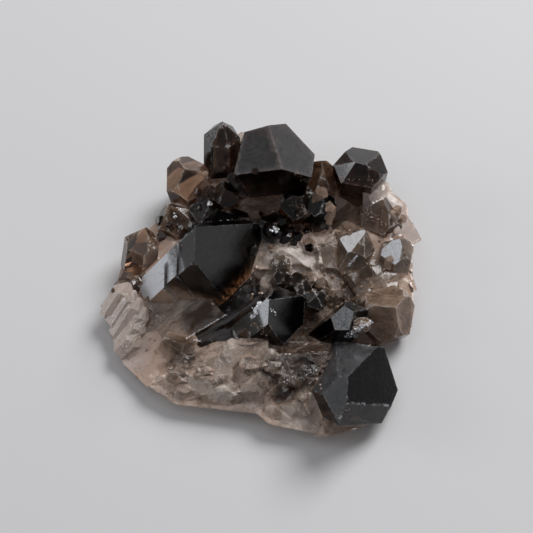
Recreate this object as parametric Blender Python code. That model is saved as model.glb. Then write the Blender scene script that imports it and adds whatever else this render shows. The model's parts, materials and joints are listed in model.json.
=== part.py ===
"""Smoky quartz crystal cluster.

Six-sided quartz crystals, large, middling and small, grown together on a lump of milky quartz that
is broken off flat below. It all grew as one piece, so it is one solid, which rests on its flat
underside. Sizes and places are in millimetres until a mesh is made from them.
"""
from math import cos, radians, sin
from random import Random

import bmesh
import bpy
from mathutils import Vector
from mathutils.bvhtree import BVHTree

MM = 0.001
NODE = "quartz_cluster"

# The middle of the finished cluster, which is put on the origin
CENTRE = (-0.03, 1.5)

# The tables lay the crystals out tall. Each point is then brought down towards the ground along its
# line to EYE, until heights are this share of the table's, so the view from EYE stays the same
EYE = (0.7, -162.5, 293.4)
HEIGHT_SHARE = 0.66

# Quartz has a side every 60 degrees, and end faces that lean 52 degrees away from the long axis
SIDE_STEP = 60
CAP_TILT = 52

# The crystals of the left half grew side by side in one direction
LEFT_LEAN = (345, 64)
LEFT_TURN = 185

# The big crystals. tip: the end of the axis; lean: azimuth and elevation of the axis; turn: rotation
# about the axis; half: from the axis to each of the six sides; caps: for each end face the azimuth
# about the axis, its tilt, and how far below the tip it meets the axis; share: brought down on its
# own to this share of its height
BIG_CRYSTALS = {
    "left giant": dict(
        tip=(-3, -1, 29), lean=LEFT_LEAN, turn=LEFT_TURN, length=32,
        half=(9, 8, 12, 9, 8, 12), caps=((68, 46, 9.5), (185, 45, 3))),
    "left giant, first ledge": dict(
        tip=(-7, 0, 21), lean=LEFT_LEAN, turn=LEFT_TURN, length=24,
        half=(9.3, 8, 11, 9, 8, 12.5), caps=((68, 46, 9), (185, 45, 3))),
    "left giant, second ledge": dict(
        tip=(-10, 0, 15), lean=LEFT_LEAN, turn=LEFT_TURN, length=18,
        half=(9.6, 8, 11, 9, 7, 13), caps=((68, 46, 8), (185, 45, 3))),
    "top giant": dict(
        tip=(3, 12.5, 36), lean=(277, 61), turn=340, length=34,
        half=(8.5, 8, 7.5, 8, 8.5, 7.5), caps=((47, 58, 1), (118, 26, 1.5), (290, 78, -11.5))),
    "front right": dict(
        tip=(22.7, -36, 24), lean=(291, 57), turn=5, length=25, share=.76,
        half=(8.5, 8.5, 7.5, 9.5, 7.5, 9),
        caps=((-17, 49, 7.5), (82, 77, -17), (133, 43, -4), (319, 48, 6))),
    "middle": dict(
        tip=(7.5, -15.3, 24), lean=LEFT_LEAN, turn=LEFT_TURN, length=26,
        half=(5.5, 5, 6.5, 5.5, 5, 6.5), caps=((68, 46, 6), (185, 45, 2))),
    "middle right": dict(
        tip=(21.8, -14.5, 19), lean=LEFT_LEAN, turn=LEFT_TURN, length=20,
        half=(3.5, 3.5, 4.5, 4, 3.5, 4.5), caps=((68, 46, 4.5), (185, 45, 3), (300, 52, 1.5))),
    "top right": dict(
        tip=(21.5, 17.3, 30), lean=(270, 75), turn=20, length=26,
        half=(5.5, 5.5, 5, 5.5, 4.5, 5),
        caps=((0, 52, 3), (60, 52, 4.5), (120, 52, 2), (180, 52, 1), (240, 52, 2), (300, 52, 1.5))),
}

# Slimmer crystals with an even six-sided point: tip, lean, turn, half width, how blunt, length
POINTED_CRYSTALS = {
    "top left post": ((-9, 27.5, 28), (80, 78), 95, 3.5, 0, 24),
    "upper left clear": ((-17.6, 20, 22), (250, 78), 20, 4.8, 2, 18),
    "upper left low": ((-21.5, 14, 16), (150, 72), 0, 4, 1, 12),
    "upper left back": ((-12, 14, 19), (60, 80), 0, 3.5, 1, 12),
    "upper left front": ((-16, 9, 16), (120, 72), 15, 3.2, 1, 12),
    "left clear": ((-26, 8, 16.5), (60, 70), 40, 3.6, 1, 14),
    "left low": ((-31, 0, 11), (110, 60), 10, 2.6, 1, 10),
    "left nub": ((-34, -5, 8), (160, 50), 0, 1.6, .5, 7),
    "under top giant, left": ((-6, 8, 20), (270, 75), 10, 3, 1, 12),
    "under top giant": ((3, 7.5, 18), (300, 70), 20, 3.4, 1, 12),
    "behind left giant": ((-8.5, 14, 22), (250, 76), 10, 2.8, 1, 12),
    "behind left giant, low": ((-12, 17, 19), (100, 80), 25, 2.6, 1, 12),
    "below post": ((-5, 17.5, 22), (270, 80), 5, 3, 1, 12),
    "rough black": ((8.5, 12, 22), (290, 72), 25, 3.8, 1, 14),
    "rough black, right": ((13, 13.5, 22), (60, 80), 10, 3.2, 1, 14),
    "saddle": ((13, 22, 22), (60, 80), 10, 4.5, 1, 16),
    "middle clear": ((5, 0, 15), (330, 70), 0, 2, .5, 9),
    "middle dark": ((4.5, -4, 16), (300, 74), 0, 1.8, .5, 9),
    "middle ridge": ((10, -5, 16), (350, 65), 20, 2.6, .5, 10),
    "middle ridge, right": ((13.5, -7.5, 15), (345, 60), 10, 3, .5, 10),
    "right of middle": ((16, 4, 15), (30, 75), 30, 3.4, 1, 10),
    "right clear": ((30, 4.8, 17), (60, 80), 20, 3.4, 1, 14),
    "right lying": ((22.5, 6, 18), (40, 62), 12, 3.6, .5, 14),
    "right back": ((26.5, 14.5, 18.5), (80, 78), 15, 4.6, 1.5, 14),
    "right low": ((23, 0, 14), (0, 75), 10, 3.4, 1, 10),
    "right dome": ((28.8, -12.5, 17), (300, 70), 20, 5.7, 2.5, 14),
    "right splinter": ((23.3, -16.3, 16.2), (345, 40), 0, 1.4, .5, 11),
    "front of middle": ((0, -17.5, 17), (330, 66), 30, 2.4, 1, 9),
    "front left brown": ((-17, -19, 12), (300, 70), 0, 4.2, 2, 9),
    "fan, first": ((-28.8, -4, 12.5), (40, 45), 10, 2.2, .4, 9),
    "fan, second": ((-27.6, -5.6, 12), (42, 46), 20, 2, .4, 10),
    "fan, third": ((-26.3, -7.2, 11.5), (45, 44), 5, 2.1, .4, 11),
    "fan, fourth": ((-25.2, -9, 10.5), (40, 44), 25, 2, .4, 11),
    "fan, fifth": ((-25.7, -11.5, 9.5), (36, 42), 15, 1.9, .4, 9),
    "fan, sixth": ((-26.5, -14.4, 8.5), (30, 40), 0, 1.9, .4, 7),
    "fan, seventh": ((-31.3, -5, 10.5), (50, 50), 8, 1.8, .4, 7),
}

# Druse: small crystals on a patch of surface. centre, spread, number, lean, half widths from and to
DRUSES = {
    "top": ((5, 8.5), (8, 4), 14, (280, 75), (.6, 1.5)),
    "right": ((18, 8), (8, 7), 14, (60, 78), (.6, 1.4)),
    "middle": ((11, -5), (8, 4), 16, (345, 68), (.5, 1.2)),
    "left": ((-16, 12), (6, 5), 8, (130, 72), (.6, 1.3)),
    "far left": ((-31, -3), (4, 6), 8, (150, 60), (.5, 1.1)),
    "right edge": ((30, 12), (4, 8), 6, (30, 70), (.6, 1.4)),
}
DRUSE_SEED = 7
DRUSE_OUT = 1.6
DRUSE_ROOT = 2.5

# Rubble: broken lumps on a patch of the base, which face the side the patch is seen from.
# centre, spread, number, side, sizes from and to
RUBBLE = {
    "front slab": ((3, -26, 10), (12, 5, 5), 16, (270, 55), (1.4, 2.6)),
    "front left slab": ((-14, -24, 8), (7, 3, 4), 8, (260, 55), (1.4, 2.6)),
    "left back": ((-22, 15, 8), (5, 6, 4), 5, (140, 30), (1.4, 2.4)),
    "back": ((2, 30, 6), (14, 5, 4), 12, (90, 20), (1.6, 3)),
    "right": ((31, 4, 7), (3, 12, 4), 8, (10, 40), (1.2, 2.2)),
    "middle": ((14, 2, 14), (10, 7, 3), 8, (270, 80), (1, 2)),
    "under front": ((4, -30, 3), (14, 4, 3), 6, (270, 5), (1.4, 2.4)),
}
RUBBLE_SEED = 21
RUBBLE_CORNERS = 8

# Lumps of the milky base, each the convex body around its corners
ROCK = {
    "left": ((-27, -12, 0), (-20, -20, 0), (-27, 3, 0), (-16, 12, 0), (-6, -22, 0), (-4, 12, 0),
             (-34, -4, 4), (-33.5, -13, 4), (-30.5, -20, 4), (-25, -26, 5), (-31, 8, 5), (-23, 17, 6),
             (-24, -18, 5), (-27, 4, 7), (-20, 11, 10), (-10, -6, 2), (-12, -16, 4)),
    "left root": ((-30, -7, 0), (-24, -14, 0), (-10, -9, 0), (-14, -4, 0), (-33.4, -8, 4.5),
                  (-32.5, -6.5, 3), (-31.5, -9.6, 6), (-25.3, -5.7, 9), (-12.7, -6.4, 12),
                  (-8.1, -10.7, 9.5), (-16.8, -15.5, 7), (-24.7, -17.2, 4.5), (-31.8, -15.2, 4)),
    "middle root": ((-12, -15, 0), (0, -8, 0), (0, -15, 0), (-16.4, -15.8, 6), (-6.8, -11.2, 9),
                    (-.3, -6.4, 12), (.6, -15.7, 12), (-7.6, -18, 9), (-13.7, -18.7, 7)),
    "front left": ((-20, -21, 0), (-8, -25, 0), (2, -24, 0), (-18, -12, 0), (2, -10, 0),
                   (-25, -26, 6), (-19, -30, 5), (-6, -31.5, 5), (1, -33, 6),
                   (-18, -20, 9), (-2, -20.5, 17), (1, -20.5, 16), (-14, -26, 9.5), (-2, -28, 12)),
    "front right": ((-2, -24, 0), (14, -28, 0), (20, -10, 0), (0, -8, 0),
                    (-4, -30, 6), (1, -35, 6), (14, -37.5, 5), (22, -35, 5), (22, -20, 8),
                    (1, -22, 15), (11.4, -21, 10.5), (13.4, -23.8, 9.5), (13.9, -31.9, 8), (4, -31, 10.5)),
    "middle": ((-18, -12, 0), (20, -14, 0), (22, 14, 0), (-18, 16, 0), (-14, -8, 1), (2, -12, 3),
               (20, -8, 8), (20, 10, 12), (-14, 14, 11), (6, 3, 13), (1, 2, 11)),
    "right": ((14, -16, 0), (25, -14, 0), (27, 6, 0), (20, 18, 0), (8, 14, 0),
              (32.5, -12, 6), (33.5, -3, 6), (33, 3, 6), (33, 19, 7), (28, 24, 8),
              (27, -9, 9), (29, 3, 9), (28, 14, 12), (14, 4, 12)),
    "right shoulder": ((22, 8, 6), (24, 22, 8), (28, 20.5, 15), (22, 17, 18.5), (32, 15, 12), (33, 10, 9),
                       (36, 10, 6.5), (30, 5, 9), (31, 19, 7)),
    "back": ((-16, 12, 0), (20, 16, 0), (12, 24, 0), (-10, 24, 0), (-22, 18, 6), (-12, 28, 7),
             (4, 30, 8), (18, 28, 8), (28, 24, 8), (-14, 22, 14), (4, 24, 18), (18, 20, 17), (-10, 10, 14)),
    "behind top giant": ((-6, 24, 0), (10, 24, 0), (-8, 30, 3), (-5, 36, 7), (3, 38, 8), (8.5, 35, 7),
                         (11, 29, 3), (-6, 34, 13), (2, 36, 15), (8, 32, 12)),
    "behind top right": ((12, 20, 0), (22, 18, 0), (14, 26, 3), (21, 30, 5), (28, 24, 5), (16, 28, 10),
                         (26, 25, 11), (28, 17, 6)),
    "behind upper left": ((-20, 14, 0), (-8, 20, 0), (-21.5, 17, 6), (-19.5, 23.5, 5), (-13, 29, 5),
                          (-7, 30, 6), (-20, 23, 10), (-13, 27, 11), (-8, 28, 12)),
}


def axes(lean, turn):
    """Two directions across a crystal and one along it."""
    azimuth, elevation, spin = (radians(angle) for angle in (*lean, turn))
    along = Vector((cos(azimuth) * cos(elevation), sin(azimuth) * cos(elevation), sin(elevation)))
    level = Vector((-sin(azimuth), cos(azimuth), 0))
    first = level * cos(spin) + along.cross(level) * sin(spin)
    return first, along.cross(first), along


def outward(frame, azimuth, tilt):
    """The direction at this azimuth about the axis, leaning away from the axis by tilt."""
    first, second, along = frame
    around = first * cos(radians(azimuth)) + second * sin(radians(azimuth))
    return around * sin(radians(tilt)) + along * cos(radians(tilt))


def keep_inside(mesh, point, normal):
    """Cuts off what lies beyond the plane and closes the cut."""
    whole = mesh.verts[:] + mesh.edges[:] + mesh.faces[:]
    cut = bmesh.ops.bisect_plane(
        mesh, geom=whole, dist=1e-4, plane_co=point, plane_no=normal, clear_outer=True)
    rim = [item for item in cut["geom_cut"] if isinstance(item, bmesh.types.BMEdge)]
    if rim:
        bmesh.ops.contextual_create(mesh, geom=rim)


def add_crystal(group, tip, lean, turn, half, caps, length, share=1):
    """Adds one closed crystal: six sides, its end faces, and a flat root at length below the tip."""
    frame = axes(lean, turn)
    along = frame[2]
    tip = Vector(tip)
    mesh = bmesh.new()
    bmesh.ops.create_cube(mesh, size=200)
    bmesh.ops.translate(mesh, vec=tip, verts=mesh.verts)
    for side, distance in enumerate(half):
        normal = outward(frame, side * SIDE_STEP, 90)
        keep_inside(mesh, tip + normal * distance, normal)
    for azimuth, tilt, drop in caps:
        keep_inside(mesh, tip - along * drop, outward(frame, azimuth, tilt))
    keep_inside(mesh, tip - along * length, -along)
    for vert in mesh.verts:
        vert.co = lowered(vert.co, share)
    add_to(group, mesh)


def add_block(group, corners):
    """Adds the closed convex body around these corners."""
    mesh = bmesh.new()
    for corner in corners:
        mesh.verts.new(corner)
    hull = bmesh.ops.convex_hull(mesh, input=mesh.verts)
    loose = [v for v in hull["geom_interior"] if isinstance(v, bmesh.types.BMVert)]
    bmesh.ops.delete(mesh, geom=loose, context="VERTS")
    bmesh.ops.dissolve_limit(mesh, angle_limit=radians(1), verts=mesh.verts, edges=mesh.edges)
    add_to(group, mesh)


def lowered(point, share=HEIGHT_SHARE):
    """Where a point of the tall layout ends up. Planes stay planes, and the ground stays in place."""
    depth = EYE[2] - point.z
    height = share * point.z * EYE[2] / (EYE[2] - (1 - share) * point.z)
    eye = Vector(EYE)
    return eye + (point - eye) * (EYE[2] - height) / depth


def add_to(group, mesh):
    """Copies a body into the group, beside the bodies that are there already."""
    bmesh.ops.recalc_face_normals(mesh, faces=mesh.faces)
    copies = {v: group.verts.new(v.co) for v in mesh.verts}
    for face in mesh.faces:
        group.faces.new([copies[v] for v in face.verts])
    mesh.free()


def even_caps(blunt):
    """Six end faces, every other one further down the axis, as on many quartz points."""
    return tuple((side * SIDE_STEP, CAP_TILT, blunt if side % 2 else 0) for side in range(6))


def clear_scene():
    for item in list(bpy.data.objects):
        bpy.data.objects.remove(item, do_unlink=True)


def add_object(name, mesh, material=None):
    data = bpy.data.meshes.new(name)
    for vert in mesh.verts:
        vert.co = lowered(vert.co)
    bmesh.ops.translate(mesh, vec=(-CENTRE[0], -CENTRE[1], 0), verts=mesh.verts)
    bmesh.ops.scale(mesh, vec=(MM, MM, MM), verts=mesh.verts)
    mesh.to_mesh(data)
    item = bpy.data.objects.new(name, data)
    bpy.context.scene.collection.objects.link(item)
    if material:
        data.materials.append(material)
    return item


def smoky_quartz():
    material = bpy.data.materials.new("smoky_quartz")
    material.use_nodes = True
    shader = material.node_tree.nodes["Principled BSDF"]
    shader.inputs["Base Color"].default_value = (0.09, 0.06, 0.045, 1)
    shader.inputs["Roughness"].default_value = 0.12
    shader.inputs["Metallic"].default_value = 0
    return material


def boolean(item, other, operation, with_self=False):
    other.hide_render = True
    other.display_type = "WIRE"
    modifier = item.modifiers.new(f"{operation.lower()} {other.name}", "BOOLEAN")
    modifier.operation = operation
    modifier.object = other
    modifier.solver = "EXACT"
    modifier.use_self = with_self


def add_druse(group, surface, rng, centre, spread, number, lean, halves):
    """Small crystals that stand on the surface below them, each leaning its own way."""
    for _ in range(number):
        x = rng.gauss(centre[0], spread[0] / 2)
        y = rng.gauss(centre[1], spread[1] / 2)
        half = rng.uniform(*halves)
        way = (lean[0] + rng.uniform(-50, 50), lean[1] + rng.uniform(-20, 10))
        turn = rng.uniform(0, SIDE_STEP)
        ground, _, _, _ = surface.ray_cast(Vector((x, y, 100)), Vector((0, 0, -1)))
        if ground is None:
            continue
        out = half * DRUSE_OUT
        tip = ground + axes(way, turn)[2] * out
        add_crystal(group, tip, way, turn, (half,) * 6, even_caps(half / 4), out + DRUSE_ROOT)


def add_rubble(group, surface, rng, centre, spread, number, side, sizes):
    """Broken lumps, each the convex body around points on a flattened ball, half sunk in the base."""
    first, second, out = axes(side, 0)
    for _ in range(number):
        start = Vector(rng.gauss(middle, reach / 2) for middle, reach in zip(centre, spread))
        ground, _, _, _ = surface.ray_cast(start + out * 60, -out)
        size = rng.uniform(*sizes)
        if ground is None or ground.z < size / 2:
            continue
        corners = []
        for _ in range(RUBBLE_CORNERS):
            way = Vector(rng.gauss(0, 1) for _ in range(3)).normalized()
            corners.append(ground + size * (first * way.x * 1.4 + second * way.y + out * way.z * .6))
        add_block(group, corners)


def main():
    clear_scene()
    rock = bmesh.new()
    for corners in ROCK.values():
        add_block(rock, corners)
    crystals = bmesh.new()
    for shape in BIG_CRYSTALS.values():
        add_crystal(crystals, **shape)
    for tip, lean, turn, half, blunt, length in POINTED_CRYSTALS.values():
        add_crystal(crystals, tip, lean, turn, (half,) * 6, even_caps(blunt), length)
    base = BVHTree.FromBMesh(rock)
    surface = crystals.copy()
    for corners in ROCK.values():
        add_block(surface, corners)
    tree = BVHTree.FromBMesh(surface)
    surface.free()
    rng = Random(DRUSE_SEED)
    for centre, spread, number, lean, halves in DRUSES.values():
        add_druse(crystals, tree, rng, centre, spread, number, lean, halves)
    rng = Random(RUBBLE_SEED)
    for centre, spread, number, side, sizes in RUBBLE.values():
        add_rubble(crystals, base, rng, centre, spread, number, side, sizes)
    cluster = add_object(NODE, rock, smoky_quartz())
    boolean(cluster, add_object("crystals", crystals), "UNION", with_self=True)
    below = bmesh.new()
    bmesh.ops.create_cube(below, size=160)
    bmesh.ops.translate(below, vec=(0, 0, -80), verts=below.verts)
    boolean(cluster, add_object("ground", below), "DIFFERENCE")


main()
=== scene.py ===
"""Smoky quartz crystal cluster on a pale floor.

The crystals and the base are built as in the part, then broken down into fine faces, roughened where
the stone is broken, and given their clear, smoky and milky zones. Lengths are in millimetres unless a
comment says metres, and a mesh is in metres.
"""
from math import cos, radians, sin
from random import Random

import bmesh
import bpy
import numpy as np
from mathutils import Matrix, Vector, noise
from mathutils.bvhtree import BVHTree
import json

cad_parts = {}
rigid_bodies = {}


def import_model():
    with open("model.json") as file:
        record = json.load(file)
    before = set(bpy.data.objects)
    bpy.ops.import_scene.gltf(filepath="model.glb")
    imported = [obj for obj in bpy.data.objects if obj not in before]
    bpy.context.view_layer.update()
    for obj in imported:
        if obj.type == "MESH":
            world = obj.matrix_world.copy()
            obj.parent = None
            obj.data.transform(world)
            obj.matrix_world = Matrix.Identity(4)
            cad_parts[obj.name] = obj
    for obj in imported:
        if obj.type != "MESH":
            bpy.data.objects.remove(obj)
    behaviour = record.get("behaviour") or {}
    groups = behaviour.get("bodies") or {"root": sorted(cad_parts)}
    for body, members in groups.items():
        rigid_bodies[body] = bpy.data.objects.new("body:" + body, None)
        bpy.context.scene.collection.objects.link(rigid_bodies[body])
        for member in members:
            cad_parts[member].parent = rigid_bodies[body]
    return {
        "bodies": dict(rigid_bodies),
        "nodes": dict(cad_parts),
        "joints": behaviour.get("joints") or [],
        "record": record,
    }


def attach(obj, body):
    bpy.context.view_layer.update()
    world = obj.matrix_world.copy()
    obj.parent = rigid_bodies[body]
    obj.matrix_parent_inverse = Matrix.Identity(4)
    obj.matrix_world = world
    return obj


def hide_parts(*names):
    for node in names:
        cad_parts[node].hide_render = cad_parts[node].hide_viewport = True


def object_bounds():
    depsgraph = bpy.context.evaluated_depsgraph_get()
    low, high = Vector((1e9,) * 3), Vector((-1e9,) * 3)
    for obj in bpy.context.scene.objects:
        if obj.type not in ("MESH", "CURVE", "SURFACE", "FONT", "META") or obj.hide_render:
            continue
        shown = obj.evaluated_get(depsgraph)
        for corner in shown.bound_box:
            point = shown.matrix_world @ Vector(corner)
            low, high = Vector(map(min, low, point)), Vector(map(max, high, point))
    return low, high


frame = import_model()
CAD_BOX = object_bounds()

MM = 0.001

# The middle of the finished cluster, which is put on the origin
CENTRE = (-0.03, 1.5)

# The tables lay the crystals out tall. Each point is then brought down along its line to EYE, to this
# share of its height, so the view from EYE stays the same
EYE = (0.7, -162.5, 293.4)
HEIGHT_SHARE = 0.66

# Places on the surface are given as seen from EYE, on a level this far up in the tall layout
SEEN_LEVEL = 10

# Quartz has a side every 60 degrees, and end faces that lean 52 degrees away from the long axis
SIDE_STEP = 60
CAP_TILT = 52

# The block that a crystal is cut from, and that cuts the underside flat. Rays start this far away
UNCUT_SIZE = 200
FAR_AWAY = 100

# The crystals of the left half grew side by side in one direction
LEFT_LEAN = (345, 64)
LEFT_TURN = 185

# The big crystals. tip: the end of the axis; lean: azimuth and elevation of the axis; turn: rotation
# about the axis; half: from the axis to each of the six sides; caps: for each end face the azimuth
# about the axis, its tilt, and how far below the tip it meets the axis; share: brought down on its
# own to this share of its height
BIG_CRYSTALS = {
    "left giant": dict(
        tip=(-3, -1, 29), lean=LEFT_LEAN, turn=LEFT_TURN, length=32,
        half=(9, 8, 12, 9, 8, 12), caps=((68, 46, 9.5), (185, 45, 3))),
    "left giant, first ledge": dict(
        tip=(-7, 0, 21), lean=LEFT_LEAN, turn=LEFT_TURN, length=24,
        half=(9.3, 8, 11, 9, 8, 12.5), caps=((68, 46, 9), (185, 45, 3))),
    "left giant, second ledge": dict(
        tip=(-10, 0, 15), lean=LEFT_LEAN, turn=LEFT_TURN, length=18,
        half=(9.6, 8, 11, 9, 7, 13), caps=((68, 46, 8), (185, 45, 3))),
    "top giant": dict(
        tip=(3, 12.5, 36), lean=(277, 61), turn=340, length=34,
        half=(8.5, 8, 7.5, 8, 8.5, 7.5), caps=((47, 58, 1), (118, 26, 1.5), (290, 78, -11.5))),
    "front right": dict(
        tip=(22.7, -36, 24), lean=(291, 57), turn=5, length=25, share=.76,
        half=(8.5, 8.5, 7.5, 9.5, 7.5, 9),
        caps=((-17, 49, 7.5), (82, 77, -17), (133, 43, -4), (319, 48, 6))),
    "middle": dict(
        tip=(7.5, -15.3, 24), lean=LEFT_LEAN, turn=LEFT_TURN, length=26,
        half=(5.5, 5, 6.5, 5.5, 5, 6.5), caps=((68, 46, 6), (185, 45, 2))),
    "middle right": dict(
        tip=(21.8, -14.5, 19), lean=LEFT_LEAN, turn=LEFT_TURN, length=20,
        half=(3.5, 3.5, 4.5, 4, 3.5, 4.5), caps=((68, 46, 4.5), (185, 45, 3), (300, 52, 1.5))),
    "top right": dict(
        tip=(21.5, 17.3, 30), lean=(270, 75), turn=20, length=26,
        half=(5.5, 5.5, 5, 5.5, 4.5, 5),
        caps=((0, 52, 3), (60, 52, 4.5), (120, 52, 2), (180, 52, 1), (240, 52, 2), (300, 52, 1.5))),
}

# Slimmer crystals with an even six-sided point: tip, lean, turn, half width, how blunt, length, and
# their tone as in TONES
FAN_TONE = (3, 7, .05, .6, .05, .8)
POINTED_CRYSTALS = {
    "top left post": ((-9, 27.5, 28), (80, 78), 95, 3.5, 0, 24, (8, 16, .96, 0, .85, .1)),
    "upper left clear": ((-17.6, 20, 22), (250, 78), 20, 4.8, 2, 18, (5, 10, .1, .08, .4, .1)),
    "upper left low": ((-21.5, 14, 16), (150, 72), 0, 4, 1, 12, (4, 9, .3, .1, .45, .2)),
    "upper left back": ((-12, 14, 19), (60, 80), 0, 3.5, 1, 12, (3, 8, .9, 0, .6, .2)),
    "upper left front": ((-16, 9, 16), (120, 72), 15, 3.2, 1, 12, (3, 8, .85, 0, .7, .1)),
    "left clear": ((-26, 8, 16.5), (60, 70), 40, 3.6, 1, 14, (4, 9, .16, .1, .34, .15)),
    "left low": ((-31, 0, 11), (110, 60), 10, 2.6, 1, 10, (3, 8, .5, .1, .5, .3)),
    "left nub": ((-34, -5, 8), (160, 50), 0, 1.6, .5, 7, (3, 6, .3, .3, .3, .5)),
    "under top giant, left": ((-6, 8, 20), (270, 75), 10, 3, 1, 12, (3, 8, .7, .05, .5, .3)),
    "under top giant": ((3, 7.5, 18), (300, 70), 20, 3.4, 1, 12, (3, 8, .68, .05, .55, .25)),
    "behind left giant": ((-8.5, 14, 22), (250, 76), 10, 2.8, 1, 12, (3, 8, .75, 0, .5, .25)),
    "behind left giant, low": ((-12, 17, 19), (100, 80), 25, 2.6, 1, 12, (4, 9, .8, .1, .6, .2)),
    "below post": ((-5, 17.5, 22), (270, 80), 5, 3, 1, 12, (4, 9, .8, .1, .7, .2)),
    "rough black": ((8.5, 12, 22), (290, 72), 25, 3.8, 1, 14, (4, 10, .85, 0, .7, .1)),
    "rough black, right": ((13, 13.5, 22), (60, 80), 10, 3.2, 1, 14, (4, 10, .95, 0, .8, .1)),
    "saddle": ((13, 22, 22), (60, 80), 10, 4.5, 1, 16, (4, 10, .5, .3, .6, .3)),
    "middle clear": ((5, 0, 15), (330, 70), 0, 2, .5, 9, (2, 6, .2, .2, .1, .6)),
    "middle dark": ((4.5, -4, 16), (300, 74), 0, 1.8, .5, 9, (2, 6, .5, .1, .4, .3)),
    "middle ridge": ((10, -5, 16), (350, 65), 20, 2.6, .5, 10, (3, 8, .5, .05, .4, .2)),
    "middle ridge, right": ((13.5, -7.5, 15), (345, 60), 10, 3, .5, 10, (3, 8, .5, .1, .4, .3)),
    "right of middle": ((16, 4, 15), (30, 75), 30, 3.4, 1, 10, (3, 8, .3, .4, .2, .6)),
    "right clear": ((30, 4.8, 17), (60, 80), 20, 3.4, 1, 14, (4, 10, .3, .35, .25, .5)),
    "right lying": ((22.5, 6, 18), (40, 62), 12, 3.6, .5, 14, (4, 10, .35, .3, .3, .5)),
    "right back": ((26.5, 14.5, 18.5), (80, 78), 15, 4.6, 1.5, 14, (4, 10, .5, .35, .45, .4)),
    "right low": ((23, 0, 14), (0, 75), 10, 3.4, 1, 10, (3, 8, .4, .35, .3, .5)),
    "right dome": ((28.8, -12.5, 17), (300, 70), 20, 5.7, 2.5, 14, (4, 9, .33, .5, .4, .45)),
    "right splinter": ((23.3, -16.3, 16.2), (345, 40), 0, 1.4, .5, 11, (3, 8, .4, .4, .5, .3)),
    "front of middle": ((0, -17.5, 17), (330, 66), 30, 2.4, 1, 9, (3, 7, .5, .3, .5, .4)),
    "front left brown": ((-17, -19, 12), (300, 70), 0, 4.2, 2, 9, (3, 7, .42, .35, .2, .7)),
    "fan, first": ((-28.8, -4, 12.5), (40, 45), 10, 2.2, .4, 9, FAN_TONE),
    "fan, second": ((-27.6, -5.6, 12), (42, 46), 20, 2, .4, 10, FAN_TONE),
    "fan, third": ((-26.3, -7.2, 11.5), (45, 44), 5, 2.1, .4, 11, FAN_TONE),
    "fan, fourth": ((-25.2, -9, 10.5), (40, 44), 25, 2, .4, 11, FAN_TONE),
    "fan, fifth": ((-25.7, -11.5, 9.5), (36, 42), 15, 1.9, .4, 9, FAN_TONE),
    "fan, sixth": ((-26.5, -14.4, 8.5), (30, 40), 0, 1.9, .4, 7, FAN_TONE),
    "fan, seventh": ((-31.3, -5, 10.5), (50, 50), 8, 1.8, .4, 7, FAN_TONE),
}

# Druse: small crystals on a patch of surface. centre, spread, number, lean, half widths from and to.
# They stray from the patch's lean by this much around and up, stand out this many half widths, and are
# rooted this deep
DRUSES = {
    "top": ((5, 8.5), (8, 4), 14, (280, 75), (.6, 1.5)),
    "right": ((18, 8), (8, 7), 14, (60, 78), (.6, 1.4)),
    "middle": ((11, -5), (8, 4), 16, (345, 68), (.5, 1.2)),
    "left": ((-16, 12), (6, 5), 8, (130, 72), (.6, 1.3)),
    "far left": ((-31, -3), (4, 6), 8, (150, 60), (.5, 1.1)),
    "right edge": ((30, 12), (4, 8), 6, (30, 70), (.6, 1.4)),
}
DRUSE_SEED = 7
DRUSE_STRAY = ((-50, 50), (-20, 10))
DRUSE_OUT = 1.6
DRUSE_ROOT = 2.5

# Rubble: broken lumps on a patch of the base, which face the side the patch is seen from.
# centre, spread, number, side, sizes from and to. The lumps are sought from OUTSIDE, on that side
RUBBLE = {
    "front slab": ((3, -26, 10), (12, 5, 5), 16, (270, 55), (1.4, 2.6)),
    "front left slab": ((-14, -24, 8), (7, 3, 4), 8, (260, 55), (1.4, 2.6)),
    "left back": ((-22, 15, 8), (5, 6, 4), 5, (140, 30), (1.4, 2.4)),
    "back": ((2, 30, 6), (14, 5, 4), 12, (90, 20), (1.6, 3)),
    "right": ((31, 4, 7), (3, 12, 4), 8, (10, 40), (1.2, 2.2)),
    "middle": ((14, 2, 14), (10, 7, 3), 8, (270, 80), (1, 2)),
    "under front": ((4, -30, 3), (14, 4, 3), 6, (270, 5), (1.4, 2.4)),
}
OUTSIDE = 60
RUBBLE_SEED = 21
RUBBLE_CORNERS = 8

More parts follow.
